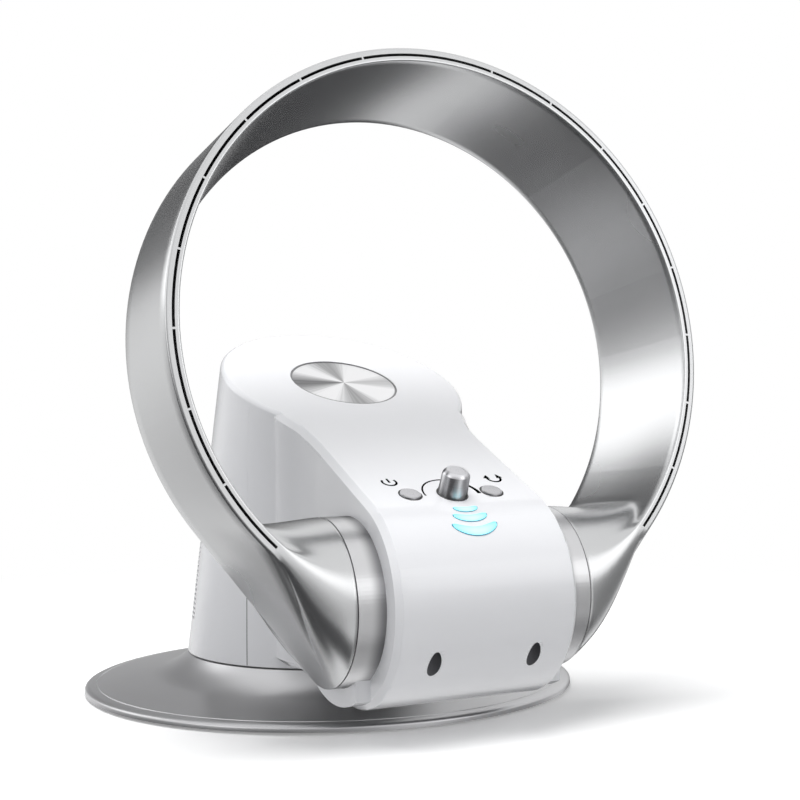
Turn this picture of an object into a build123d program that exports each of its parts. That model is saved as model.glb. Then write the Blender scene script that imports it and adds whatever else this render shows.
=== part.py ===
from build123d import *
from math import acos, atan2, copysign, cos, degrees, hypot, pi, radians, sin, tan
import os

# A bladeless fan on a round base. Sizes are millimetres and degrees.
# The origin is the centre of the base on the floor. +Z is up and the fan faces -Y.

# ---- driving dimensions: base ----
feet_height = 1.5
foot_radius = 8.0
foot_inset = 20.7              # from the rim to the feet's centres
foot_count = 5
centre_pad_radius = 12.0
base_radius = 162.7
rim_edge_height = 2.0          # upright edge at the foot of the rim
rim_roll = 8.1                 # width of the rounded rim
rim_height = 6.2
slope_foot_radius = 120.0      # where the low cone turns up into the neck
slope_foot_height = 11.0
neck_radius = 95.0
neck_height = 24.6
cover_wall = 2.5
plate_thickness = 2.0
neck_opening = 76.0
ballast_inner = 62.0
ballast_outer = 104.0
ballast_height = 6.0
base_screw_reach = 8.0         # from the foot of the neck's sweep out to the screws

# ---- driving dimensions: swivel and swing drive ----
post_radius = 13.95
post_bore = 9.0
post_shoulder_radius = 20.0
post_shoulder_height = 12.0
bush_radius = 14.0
bush_wall = 6.0
turntable_gap = 1.3            # from the neck to the turntable and the column
turntable_thickness = 3.0
gear_module = 1.5
sector_teeth = 72              # teeth of the whole circle that the sector is cut from
sector_half_teeth = 10         # teeth kept on each side of the middle one
pinion_teeth = 12
pressure_angle = 25.0
tooth_thinning = 0.14
gear_height = 6.0
swing_motor_radius = 21.0
swing_motor_height = 20.0

# ---- driving dimensions: body ----
wall = 2.4
column_radius = 95.0
column_taper = 0.0807          # radius lost for each millimetre of height
column_lean = 0.135            # forward shift for each millimetre of height
hub_y = -160.35
hub_z = 77.2
drum_radius = 61.2
drum_half_width = 57.0
top_slope = 24.35
cover_depth = 5.2
cover_bevel = 3.4
cover_end_angle = 278.0        # where the cover ends under the drum
flare_outline = [(66.0, -56.0), (64.6, -78.0), (60.2, -90.0), (57.7, -106.0)]  # half width and y, from the column forward
flare_end = -124.0             # y where the sides run straight
underside_outline = [(-98.0, 26.5), (-76.5, 28.5)]  # y and height of the belly under the flare
underside_seam_height = 42.0
column_head = 250.0
cradle_radius = 58.4
cradle_half_width = 66.0
cradle_front = 25.75           # cradle's front end, ahead of the hub axis
seam_y = -52.8
badge_radius = 35.6
badge_thickness = 1.2
badge_distance = 170.5         # along the slope, from the line where it meets the drum

# ---- driving dimensions: intake grille ----
grille_rows = 20
grille_pitch = 3.08
grille_slot = 1.5
grille_foot = 48.0
grille_half_angle = 84.0
grille_bars = 5
grille_bar_width = 3.0
grille_cut_depth = 30.0
bar_spread = 56.0

# ---- driving dimensions: hubs and collars ----
hub_radius = 47.8
collar_end = 73.4
hub_gap = 0.5
collar_wall = 2.4
spigot_radius = 39.95
spigot_wall = 3.45
bearing_clearance = 0.05
spigot_end = 50.4
retainer_width = 4.0
retainer_thickness = 3.0
running_gap = 0.3

# ---- driving dimensions: air ring ----
ring_lean = 9.23
ring_axis_above_hub = 146.05   # measured in the ring's own plane
front_ahead_of_hub = 45.7
slot_width = 1.65
slot_bridge = 1.2
slot_step = 15.0
slot_end_angle = 132.0         # from the top, to each side
ring_outer_radius = 169.5
slot_inset = 4.5               # from the outer edge to the middle of the slot
rim_face_width = 8.1
inner_taper = 11.1             # radius that the inner wall loses from front to back
band_depth = 78.6
rim_depth = 7.0
ring_wall = 2.0
arm_start_angle = 46.2         # from the bottom, where the band turns into the arm
arm_wall = 2.4

# ---- driving dimensions: controls ----
control_row = 9.0              # along the slope, from the line where it meets the drum
button_spacing = 52.8
button_radius = 6.2
button_rise = 1.0
knob_foot_radius = 8.6
knob_top_radius = 7.3
knob_height = 15.0
knob_chamfer = 1.6
pot_shaft_radius = 3.0
board_depth = 10.6
board_thickness = 1.6
board_width = 84.0
board_length = 30.0
peg_x = 38.0
well_spacing = 62.8
well_radius = 4.0
well_y = -213.0
well_depth_z = 58.0

# ---- driving dimensions: fan ----
fan_y = -8.0
housing_radius = 54.4
housing_wall = 2.4
housing_foot = 60.0
housing_top = 136.0
post_circle = 66.0
post_width = 4.0
impeller_gap = 1.5             # from the blade tips to the housing
impeller_foot = 72.0
impeller_height = 26.0
impeller_hub_foot = 12.0
impeller_hub_top = 22.0
blade_count = 9
motor_radius = 24.0
motor_foot = 100.0
motor_height = 34.0
motor_shaft_radius = 3.0
duct_half_width = 40.0
duct_wall = 2.0
plenum_radius = 39.0
duct_rise = 34.0
duct_bend_y = -96.0

# ---- driving dimensions: small parts ----
cover_rounding = 3.4
well_tube_top = 71.7
screw_radius = 1.5
wall_opening = 42.6
washer_thickness = 0.7
seal_depth = 2.0
seal_width = 2.0
badge_edge = 0.9
inlet_height = 37.0
inlet_radius = 4.4
inlet_length = 14.0
knob_seat_depth = 0.8
lamp_angle = 134.0
lamp_gap = 0.08
arm_arrival_angle = 45.0
outer_pull = 70.0
inner_pull = 36.0
arm_squareness = 3.5
arm_points = 24
arm_samples = 720
arm_stations = [0, 0.2, 0.4, 0.6, 0.8, 1]
switch_top = 6.0
button_travel = 1.0
filter_thickness = 2.0
# half width, height of the ends, thickness and drop of each crescent
lamp_crescents = [(7.8, 4.6, 3.2, -8.5), (10.6, 5.2, 3.4, 0.0), (14.6, 7.6, 4.6, 9.4)]

os.makedirs("parts", exist_ok=True)

# ---- derived places ----
base_floor = feet_height
plate_top = base_floor + plate_thickness
foot_circle = base_radius - foot_inset
base_screw_circle = slope_foot_radius + base_screw_reach
impeller_radius = housing_radius - housing_wall - impeller_gap
column_foot = neck_height + turntable_gap - 0.1
turntable_foot = neck_height + turntable_gap
turntable_top = turntable_foot + turntable_thickness
slope = radians(top_slope)
slope_normal = Vector(0, -sin(slope), cos(slope))
slope_line = Vector(0, hub_y, hub_z) + slope_normal * drum_radius
top_plane = Plane(origin=slope_line, x_dir=(1, 0, 0), z_dir=slope_normal)
drum_top_angle = 90 + top_slope
lean = radians(ring_lean)
ring_front = Vector(0, -cos(lean), sin(lean))
ring_up = Vector(0, sin(lean), cos(lean))
ring_centre = Vector(0, hub_y, hub_z) + ring_up * ring_axis_above_hub + ring_front * front_ahead_of_hub
ring_plane = Plane(origin=ring_centre, x_dir=(1, 0, 0), z_dir=ring_front)
ring_axis = Axis(ring_centre, ring_front)
slot_radius = ring_outer_radius - slot_inset
front_inner_radius = ring_outer_radius - rim_face_width
back_inner_radius = front_inner_radius - inner_taper
ring_arc = 360 - 2 * arm_start_angle
hub_face = collar_end + hub_gap
gear_foot = post_shoulder_height + 0.2
gear_pitch_radius = gear_module * sector_teeth / 2
pinion_x = gear_pitch_radius + gear_module * pinion_teeth / 2
slope_to_axis = -slope_line.Y / cos(slope)
far = 2 * base_radius          # a reach past the whole body
board_pegs = [(side * peg_x, control_row + rise) for side in (-1, 1) for rise in (-8, 14)]


def finish(piece, label):
    """Names a finished piece and writes it as its own file."""
    piece.part.label = label
    export_step(piece.part, f"parts/{label}.step")


def side_plane(x):
    """A plane square to X whose own x is +Y and own y is +Z, centred on the hub axis."""
    return Plane(origin=(x, hub_y, hub_z), x_dir=(0, 1, 0), z_dir=(1, 0, 0))


def around_hub(radius, angle):
    """A point (y, z) about the hub axis. 90 is straight up and 180 is the front."""
    return (hub_y + radius * cos(radians(angle)), hub_z + radius * sin(radians(angle)))


def slope_point(distance, depth):
    """A point (y, z) at a distance up the slope and a depth below its surface."""
    place = slope_line + Vector(0, cos(slope), sin(slope)) * distance - slope_normal * depth
    return (place.Y, place.Z)


# ======================= base =======================

# Silver cover of the base: a low cone with a rolled rim that sweeps up into the neck.
rim_top_radius = base_radius - rim_roll
rim_edge = base_floor + rim_edge_height
with BuildPart() as base_cover:
    with BuildSketch(Plane.XZ) as cover_section:
        with BuildLine():
            roll_end = (rim_top_radius, rim_height)
            Line((base_radius, base_floor), (base_radius, rim_edge))
            ThreePointArc((base_radius, rim_edge), (base_radius - 2.6, rim_edge + 1.9), roll_end)
            cone = Line(roll_end, (slope_foot_radius, slope_foot_height))
            TangentArc((slope_foot_radius, slope_foot_height), (neck_radius, neck_height), tangent=cone % 1)
            Polyline(
                (neck_radius, neck_height),
                (neck_opening, neck_height),
                (neck_opening, neck_height - cover_wall),
                (neck_radius - cover_wall, neck_height - cover_wall - 0.5),
                (slope_foot_radius, slope_foot_height - cover_wall),
                (rim_top_radius, rim_height - cover_wall),
                (base_radius - cover_wall, base_floor + 1.0),
                (base_radius - cover_wall, base_floor),
                (base_radius, base_floor),
            )
        make_face()
    revolve(axis=Axis.Z)
    with BuildSketch(Plane.XY.offset(plate_top)):
        with PolarLocations(base_screw_circle, foot_count, start_angle=54):
            Circle(4.5)
    extrude(amount=slope_foot_height - cover_wall - plate_top - 0.2)
    with BuildSketch(Plane.XY.offset(plate_top)):
        with PolarLocations(base_screw_circle, foot_count, start_angle=54):
            Circle(1.55)
    extrude(amount=4.5, mode=Mode.SUBTRACT)
finish(base_cover, "base_cover")

# Flat plate that closes the base from below.
with BuildPart() as base_plate:
    with BuildSketch(Plane.XY.offset(base_floor)):
        Circle(base_radius - rim_roll - 0.6)
    extrude(amount=plate_thickness)
    with BuildSketch(Plane.XY.offset(base_floor)):
        with PolarLocations(base_screw_circle, foot_count, start_angle=54):
            Circle(1.7)
    extrude(amount=plate_thickness, mode=Mode.SUBTRACT)
    with BuildSketch(Plane.XY.offset(base_floor)):
        with PolarLocations(base_screw_circle, foot_count, start_angle=54):
            Circle(3.2)
    extrude(amount=1.2, mode=Mode.SUBTRACT)
finish(base_plate, "base_plate")

# Heavy iron ring that keeps the fan from tipping.
with BuildPart() as base_ballast:
    with BuildSketch(Plane.XY.offset(plate_top)):
        Circle(ballast_outer)
        Circle(ballast_inner, mode=Mode.SUBTRACT)
    extrude(amount=ballast_height)
finish(base_ballast, "base_ballast")

# Rubber feet round the edge, with one pad in the middle.
with BuildPart() as rubber_feet:
    with BuildSketch():
        with PolarLocations(foot_circle, foot_count, start_angle=90):
            Circle(foot_radius)
        Circle(centre_pad_radius)
    extrude(amount=feet_height)
finish(rubber_feet, "rubber_feet")

# Screws up through the plate into the cover's bosses.
with BuildPart() as base_screws:
    with BuildSketch(Plane.XY.offset(base_floor + 0.1)):
        with PolarLocations(base_screw_circle, foot_count, start_angle=54):
            Circle(3.0)
    extrude(amount=1.1)
    with BuildSketch(Plane.XY.offset(base_floor + 1.1)):
        with PolarLocations(base_screw_circle, foot_count, start_angle=54):
            Circle(1.5)
    extrude(amount=5.0)
finish(base_screws, "base_screws")


# ======================= swivel and swing drive =======================

# Hollow post in the middle of the base. The wires pass up through it.
with BuildPart() as swivel_post:
    with BuildSketch(Plane.XY.offset(plate_top)):
        Circle(post_shoulder_radius)
    extrude(amount=post_shoulder_height - plate_top)
    with BuildSketch(Plane.XY.offset(plate_top)):
        Circle(post_radius)
    extrude(amount=turntable_top + 2.5 - plate_top)
    with BuildSketch(Plane.XY.offset(plate_top)):
        Circle(post_bore)
    extrude(amount=60, mode=Mode.SUBTRACT)
finish(swivel_post, "swivel_post")

# Slippery ring on the neck that carries the turntable.
with BuildPart() as swivel_washer:
    with BuildSketch(Plane.XY.offset(neck_height)):
        Circle(neck_radius - 7)
        Circle(neck_opening + 2, mode=Mode.SUBTRACT)
    extrude(amount=turntable_gap - running_gap)
finish(swivel_washer, "swivel_washer")

# Ring screwed on top of the post, over the turntable's bush.
with BuildPart() as swivel_retainer:
    with BuildSketch(Plane.XY.offset(turntable_top + 2.5)):
        Circle(bush_radius + 4)
        Circle(post_bore, mode=Mode.SUBTRACT)
    extrude(amount=2.0)
finish(swivel_retainer, "swivel_retainer")


def tooth_half_angle(radius, teeth):
    """Half the angle of an involute tooth at a radius, in radians."""
    pitch_radius = gear_module * teeth / 2
    base_circle = pitch_radius * cos(radians(pressure_angle))
    angle = acos(min(1.0, base_circle / max(radius, base_circle)))
    at_pitch = pi / (2 * teeth) - tooth_thinning / (2 * pitch_radius)
    pressure = radians(pressure_angle)
    return at_pitch + (tan(pressure) - pressure) - (tan(angle) - angle)


def tooth_points(teeth, centre_angle):
    """Corner points of one tooth, from its right root to its left root."""
    pitch_radius = gear_module * teeth / 2
    root = pitch_radius - 1.25 * gear_module
    tip = pitch_radius + gear_module
    start = max(root, pitch_radius * cos(radians(pressure_angle)))
    flank = [root, start + 0.01, (start + pitch_radius) / 2, pitch_radius, (pitch_radius + tip) / 2, tip]
    right = [(r, centre_angle - tooth_half_angle(r, teeth)) for r in flank]
    left = [(r, centre_angle + tooth_half_angle(r, teeth)) for r in reversed(flank)]
    return [(r * cos(a), r * sin(a)) for r, a in right + left]


# Toothed sector fixed in the base. The pinion walks along it and swings the body.
tooth_step = 2 * pi / sector_teeth
sector_edge = (sector_half_teeth + 0.5) * tooth_step
with BuildPart() as swing_sector:
    with BuildSketch(Plane.XY.offset(gear_foot)):
        with BuildLine():
            outline = [(0, 0)]
            for number in range(-sector_half_teeth, sector_half_teeth + 1):
                outline += tooth_points(sector_teeth, number * tooth_step)
            Polyline(*outline, close=True)
        make_face()
        Circle(post_shoulder_radius)
        Circle(bush_radius, mode=Mode.SUBTRACT)
        with PolarLocations(36, 3, start_angle=-28, angular_range=56, endpoint=True):
            Circle(6, mode=Mode.SUBTRACT)
    extrude(amount=gear_height)
finish(swing_sector, "swing_sector")

# Pinion on the swing motor's shaft.
with BuildPart() as swing_pinion:
    with BuildSketch(Plane(origin=(pinion_x, 0, gear_foot - 0.5))):
        with BuildLine():
            outline = []
            for number in range(pinion_teeth):
                outline += tooth_points(pinion_teeth, (number + 0.5) * 2 * pi / pinion_teeth)
            Polyline(*outline, close=True)
        make_face()
    extrude(amount=gear_height + 1)
    with BuildSketch(Plane(origin=(pinion_x, 0, gear_foot))):
        Circle(2.95)
    extrude(amount=turntable_top + 8 - gear_foot)
finish(swing_pinion, "swing_pinion")

# Floor of the column, with the bush that turns on the post.
with BuildPart() as turntable:
    with BuildSketch(Plane.XY.offset(turntable_foot)):
        Circle(column_radius - wall - 1.2)
        with Locations((pinion_x, 0)):
            Circle(4.0, mode=Mode.SUBTRACT)
    extrude(amount=turntable_thickness)
    with BuildSketch(Plane.XY.offset(turntable_foot - 3)):
        Circle(bush_radius + bush_wall)
    extrude(amount=turntable_thickness + 5)
    with BuildSketch(Plane.XY.offset(turntable_foot - 3)):
        Circle(bush_radius)
    extrude(amount=turntable_thickness + 5, mode=Mode.SUBTRACT)
    with BuildSketch(Plane.XY.offset(turntable_top)):
        with PolarLocations(post_circle, 4, start_angle=45):
            Circle(post_width)
    extrude(amount=housing_foot - turntable_top)
finish(turntable, "turntable")

# Small geared motor that drives the swing.
with BuildPart() as swing_motor:
    with BuildSketch(Plane(origin=(pinion_x, 0, turntable_top))):
        Circle(swing_motor_radius)
        with Locations((0, swing_motor_radius), (0, -swing_motor_radius)):
            Rectangle(9, 9)
    extrude(amount=2.0)
    with BuildSketch(Plane(origin=(pinion_x, 0, turntable_top))):
        Circle(swing_motor_radius)
    extrude(amount=swing_motor_height)
    with BuildSketch(Plane(origin=(pinion_x, 0, turntable_top))):
        Circle(3.0)
    extrude(amount=9.0, mode=Mode.SUBTRACT)
finish(swing_motor, "swing_motor")


# ======================= body shells =======================

def column_solid(inset, foot, head):
    """The leaning, tapering column, smaller by an inset, between two heights."""
    with BuildPart() as column:
        for height in (foot, head):
            rise = height - neck_height
            with BuildSketch(Plane(origin=(0, -column_lean * rise, height))):
                Circle(column_radius - column_taper * rise - inset)
        loft()
        with BuildSketch(Plane.YZ):
            with BuildLine():
                low = slope_point(-drum_radius, inset)
                high = slope_point(far, inset)
                Polyline(low, high, (high[0], 0), (low[0], 0), low)
            make_face()
        extrude(amount=far, both=True, mode=Mode.INTERSECT)
    return column.part


def tongue_solid(inset):
    """The part that reaches forward to the drum, smaller by an inset."""
    with BuildPart() as tongue:
        with BuildSketch():
            with BuildLine():
                side = drum_half_width - inset
                flare = [(half_width - inset, y) for half_width, y in flare_outline]
                rear, rear_y = flare[0]
                right = Spline(*flare, (side, flare_end), tangents=[(0, -1), (0, -1)])
                Polyline((side, flare_end), (side, -far), (-side, -far), (-side, flare_end))
                mirror(right, about=Plane.YZ)
                Polyline((rear, rear_y), (0, rear_y / 2), (-rear, rear_y))
            make_face()
        extrude(amount=column_head)
        with BuildSketch(Plane.YZ):
            with BuildLine():
                underside = underside_outline[0]
                # the underside is a straight line that touches the drum
                reach = hypot(underside[0] - hub_y, underside[1] - hub_z)
                bearing = degrees(atan2(underside[1] - hub_z, underside[0] - hub_y))
                touch_angle = bearing - degrees(acos(drum_radius / reach)) + 360
                start = around_hub(drum_radius, drum_top_angle)
                end = around_hub(drum_radius, touch_angle)
                Line(slope_point(slope_to_axis, 0), start)
                ThreePointArc(start, around_hub(drum_radius, 190), end)
                Polyline(end, *underside_outline, (seam_y, underside_seam_height), (0, underside_seam_height),
                         slope_point(slope_to_axis, 0))
            make_face()
            offset(amount=-inset, kind=Kind.INTERSECTION)
        extrude(amount=far, both=True, mode=Mode.INTERSECT)
    return tongue.part


def cover_band(inner, outer):
    """The space between two depths below the top surface, as a solid right across."""
    with BuildPart() as band:
        with BuildSketch(Plane.YZ):
            with BuildLine():
                top = drum_top_angle
                end = cover_end_angle
                middle = (top + end) / 2
                low = drum_radius - inner
                high = drum_radius - outer
                Line(slope_point(far, outer), around_hub(high, top))
                ThreePointArc(around_hub(high, top), around_hub(high, middle), around_hub(high, end))
                Line(around_hub(high, end), around_hub(low, end))
                ThreePointArc(around_hub(low, end), around_hub(low, middle), around_hub(low, top))
                Line(around_hub(low, top), slope_point(far, inner))
                Line(slope_point(far, inner), slope_point(far, outer))
            make_face()
        extrude(amount=far, both=True)
    return band.part


def on_top(edge):
    """Whether an edge lies in the sloping top plane."""
    return abs((edge @ 0.5 - slope_line).dot(slope_normal)) < 0.01


# The column's top edge is rounded, and the flare and the drum have a crisp bevel.
column_outside = column_solid(0, column_foot, column_head)
with BuildPart() as rounded_column:
    add(column_outside)
    fillet(rounded_column.edges().filter_by(on_top), cover_rounding)

tongue_outside = tongue_solid(0)
with BuildPart() as bevelled_tongue:
    add(tongue_outside)
    slope_edges = bevelled_tongue.edges().filter_by(on_top).filter_by(lambda edge: (edge @ 0.5).Y < flare_outline[0][1])
    slope_edges = slope_edges.filter_by(lambda edge: abs((edge @ 0.5).X) > 10)
    drum_edges = bevelled_tongue.edges().filter_by(GeomType.CIRCLE)
    chamfer(slope_edges + drum_edges, cover_bevel)

column_inside = column_solid(wall, column_foot - 5, column_head)
tongue_inside = tongue_solid(wall)

with BuildPart() as body_outside:
    add(rounded_column.part)
    add(bevelled_tongue.part)

with BuildPart() as body_inside:
    add(column_inside)
    add(tongue_inside)

cover_zone = cover_band(cover_depth, -4)
well_places = [(-well_spacing / 2, well_y), (well_spacing / 2, well_y)]
button_places = [(-button_spacing / 2, control_row), (button_spacing / 2, control_row)]
knob_place = (0, control_row - 1.0)
badge_place = (0, badge_distance)
lamp_plane = Plane(
    origin=(0, *around_hub(drum_radius + 3, lamp_angle)),
    x_dir=(1, 0, 0),
    z_dir=(0, cos(radians(lamp_angle)), sin(radians(lamp_angle))),
)

# The screw wells' tubes, clipped to the outside of the drum.
with BuildPart() as well_tubes:
    with BuildSketch(Plane.XY.offset(hub_z - drum_radius)):
        with Locations(*well_places):
            Circle(well_radius + 2.0)
    extrude(amount=well_tube_top - hub_z + drum_radius)
    add(body_outside.part, mode=Mode.INTERSECT)


def lamp_outline(half_width, ends, thickness, drop, gap):
    """One crescent of the indicator light, wider by a gap, at a drop below the lamp plane's centre."""
    with BuildSketch(lamp_plane) as crescent:
        with BuildLine():
            left = (-half_width - gap, ends - drop + 0.7 * gap)
            right = (half_width + gap, ends - drop + 0.7 * gap)
            ThreePointArc(left, (0, -drop - gap), right)
            ThreePointArc(right, (0, thickness - drop + gap), left)
        make_face()
    return crescent.sketch


# White top cover: one skin over the column, down the slope and round the drum.
with BuildPart() as top_cover:
    add(body_outside.part)
    add(cover_zone, mode=Mode.INTERSECT)
    add(body_inside.part, mode=Mode.SUBTRACT)
    add(well_tubes.part)
    # wells for the front screws
    with BuildSketch(Plane.XY.offset(0)):
        with Locations(*well_places):
            Circle(well_radius)
    extrude(amount=well_depth_z, mode=Mode.SUBTRACT)
    with BuildSketch(Plane.XY.offset(0)):
        with Locations(*well_places):
            Circle(screw_radius + 0.15)
    extrude(amount=well_tube_top + 1, mode=Mode.SUBTRACT)
    # recess of the badge, holes of the buttons, seat and hole of the knob
    with BuildSketch(top_plane):
        with Locations(badge_place):
            Circle(badge_radius + 0.2)
    extrude(amount=-badge_thickness, mode=Mode.SUBTRACT)
    with BuildSketch(top_plane):
        with Locations(*button_places):
            Circle(button_radius + running_gap)
        with Locations(knob_place):
            Circle(pot_shaft_radius + 1)
    extrude(amount=-8, mode=Mode.SUBTRACT)
    with BuildSketch(top_plane):
        with Locations(knob_place):
            Circle(knob_foot_radius + 0.7)
    extrude(amount=-knob_seat_depth, mode=Mode.SUBTRACT)
    # pegs that carry the control board
    with BuildSketch(top_plane.offset(-wall)):
        with Locations(*board_pegs):
            Circle(2.6)
    extrude(amount=-(board_depth - board_thickness - wall))
    # windows of the indicator light
    for crescent in lamp_crescents:
        add(lamp_outline(*crescent, lamp_gap))
    extrude(amount=-14, mode=Mode.SUBTRACT)
finish(top_cover, "top_cover")

# Three clear crescents that carry the indicator's light to the surface.
with BuildPart() as light_lenses:
    for crescent in lamp_crescents:
        add(lamp_outline(*crescent, 0))
    extrude(amount=-14)
    with BuildSketch(side_plane(0)):
        Circle(drum_radius)
        Circle(drum_radius - wall, mode=Mode.SUBTRACT)
    extrude(amount=drum_half_width, both=True, mode=Mode.INTERSECT)
finish(light_lenses, "light_lenses")

# Round aluminium disc let into the cover. It has a fine raised edge.
with BuildPart() as badge_disc:
    with BuildSketch(top_plane.offset(-badge_thickness)):
        with Locations(badge_place):
            Circle(badge_radius)
    extrude(amount=badge_thickness)
    with BuildSketch(top_plane):
        with Locations(badge_place):
            Circle(badge_radius - badge_edge)
    extrude(amount=-0.4, mode=Mode.SUBTRACT)
finish(badge_disc, "badge_disc")

# Everything of the housing below the cover, before it is divided at the seam.
with BuildPart() as lower_housing:
    add(body_outside.part)
    add(cover_zone, mode=Mode.SUBTRACT)
    add(body_inside.part, mode=Mode.SUBTRACT)

# Rear shell of the column with its intake slots.
with BuildPart() as grille_cutter:
    for row in range(grille_rows):
        with BuildSketch(Plane.XY.offset(grille_foot + row * grille_pitch)):
            with BuildLine():
                reach = column_radius + 10
                turn = radians(grille_half_angle)
                right_end = (reach * sin(turn), reach * cos(turn))
                left_end = (-reach * sin(turn), reach * cos(turn))
                Polyline(left_end, (0, 0), right_end)
                ThreePointArc(right_end, (0, reach), left_end)
            make_face()
            with PolarLocations(reach / 2, grille_bars, start_angle=90 - bar_spread, angular_range=2 * bar_spread,
                                endpoint=True):
                Rectangle(reach + 20, grille_bar_width, mode=Mode.SUBTRACT)
            Circle(column_radius - grille_cut_depth, mode=Mode.SUBTRACT)
        extrude(amount=grille_slot)

with BuildPart() as rear_shell:
    add(lower_housing.part)
    split(bisect_by=Plane.XZ.offset(-seam_y - 0.05), keep=Keep.BOTTOM)
    add(grille_cutter.part, mode=Mode.SUBTRACT)
    with BuildSketch(Plane(origin=(0, 0, inlet_height), x_dir=(1, 0, 0), z_dir=(0, 1, 0))):
        Circle(inlet_radius + 0.2)
    extrude(amount=far, mode=Mode.SUBTRACT)
finish(rear_shell, "rear_shell")

# Front shell: side walls of the tongue, its underside and the cradle under the collars.
with BuildPart() as front_shell:
    add(lower_housing.part)
    split(bisect_by=Plane.XZ.offset(-seam_y + 0.05), keep=Keep.TOP)
    for side in (-1, 1):
        with BuildSketch(side_plane(side * drum_half_width)):
            Circle(cradle_radius)
            with Locations((0, cradle_radius / 2)):
                Rectangle(3 * cradle_radius, cradle_radius, mode=Mode.SUBTRACT)
            with Locations((-cradle_front - cradle_radius, 0)):
                Rectangle(2 * cradle_radius, 3 * cradle_radius, mode=Mode.SUBTRACT)
        extrude(amount=side * (cradle_half_width - drum_half_width))
        with BuildSketch(side_plane(side * drum_half_width)):
            Circle(hub_radius + running_gap)
        extrude(amount=side * 40, mode=Mode.SUBTRACT)
        with BuildSketch(side_plane(side * (drum_half_width + 0.5))):
            Circle(wall_opening)
        extrude(amount=-side * (wall + 1), mode=Mode.SUBTRACT)
    with BuildSketch(Plane.XY.offset(well_tube_top + running_gap)):
        with Locations((0, well_y + 1.5)):
            Rectangle(2 * (drum_half_width - wall) + 0.4, 7)
    extrude(amount=6)
    with BuildSketch(Plane.XY.offset(well_tube_top)):
        with Locations(*well_places):
            Circle(screw_radius + 0.05)
    extrude(amount=8, mode=Mode.SUBTRACT)
finish(front_shell, "front_shell")

# Screws up through the wells into the front shell's bar.
with BuildPart() as front_screws:
    with BuildSketch(Plane.XY.offset(well_depth_z - 2.4)):
        with Locations(*well_places):
            Circle(well_radius - 0.6)
    extrude(amount=2.4)
    with BuildSketch(Plane.XY.offset(well_depth_z - 2.4)):
        with Locations(*well_places):
            RegularPolygon(1.6, 6)
    extrude(amount=1.4, mode=Mode.SUBTRACT)
    with BuildSketch(Plane.XY.offset(well_depth_z)):
        with Locations(*well_places):
            Circle(screw_radius)
    extrude(amount=well_tube_top + 5 - well_depth_z)
finish(front_screws, "front_screws")


# ======================= collars and hubs =======================

for side, name in ((-1, "left_collar"), (1, "right_collar")):
    # Ring between the drum and the ring's hub, with the sleeve that the spigot turns in.
    with BuildPart() as collar:
        with BuildSketch(side_plane(side * drum_half_width)):
            Circle(hub_radius)
            Circle(spigot_radius + bearing_clearance, mode=Mode.SUBTRACT)
        extrude(amount=side * (collar_end - drum_half_width))
        with BuildSketch(side_plane(side * drum_half_width)):
            Circle(hub_radius - collar_wall)
            Circle(spigot_radius + collar_wall, mode=Mode.SUBTRACT)
        extrude(amount=side * (collar_end - drum_half_width - collar_wall), mode=Mode.SUBTRACT)
    finish(collar, name)

with BuildPart() as friction_washers:
    for side in (-1, 1):
        with BuildSketch(side_plane(side * (drum_half_width - wall))):
            Circle(wall_opening + 3)
            Circle(spigot_radius + 0.6, mode=Mode.SUBTRACT)
        extrude(amount=-side * washer_thickness)
finish(friction_washers, "friction_washers")

with BuildPart() as hub_retainers:
    for side in (-1, 1):
        outer_end = drum_half_width - wall - washer_thickness - running_gap
        with BuildSketch(side_plane(side * outer_end)):
            Circle(spigot_radius + retainer_width)
            Circle(spigot_radius, mode=Mode.SUBTRACT)
        extrude(amount=-side * retainer_thickness)
finish(hub_retainers, "hub_retainers")

with BuildPart() as hub_seals:
    for side in (-1, 1):
        with BuildSketch(side_plane(side * (collar_end - 6))):
            Circle(spigot_radius - 0.2)
            Circle(spigot_radius - seal_depth, mode=Mode.SUBTRACT)
        extrude(amount=side * seal_width)
finish(hub_seals, "hub_seals")


# ======================= air ring =======================

def ring_section(points):
    """A closed outline on the plane through the ring's axis at the start of its arc, as (radius, depth)."""
    start = radians(arm_start_angle)
    outward = Vector(1, 0, 0) * sin(start) - ring_up * cos(start)
    section_plane = Plane(origin=ring_centre, x_dir=outward, z_dir=outward.cross(ring_front))
    with BuildSketch(section_plane) as section:
        with BuildLine():
            Polyline(*[(radius, -depth) for radius, depth in points], close=True)
        make_face()
    return section.sketch


def inner_radius(depth):
    """Radius of the tapering inner face at a depth behind the front."""
    return front_inner_radius + (back_inner_radius - front_inner_radius) * depth / band_depth


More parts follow.
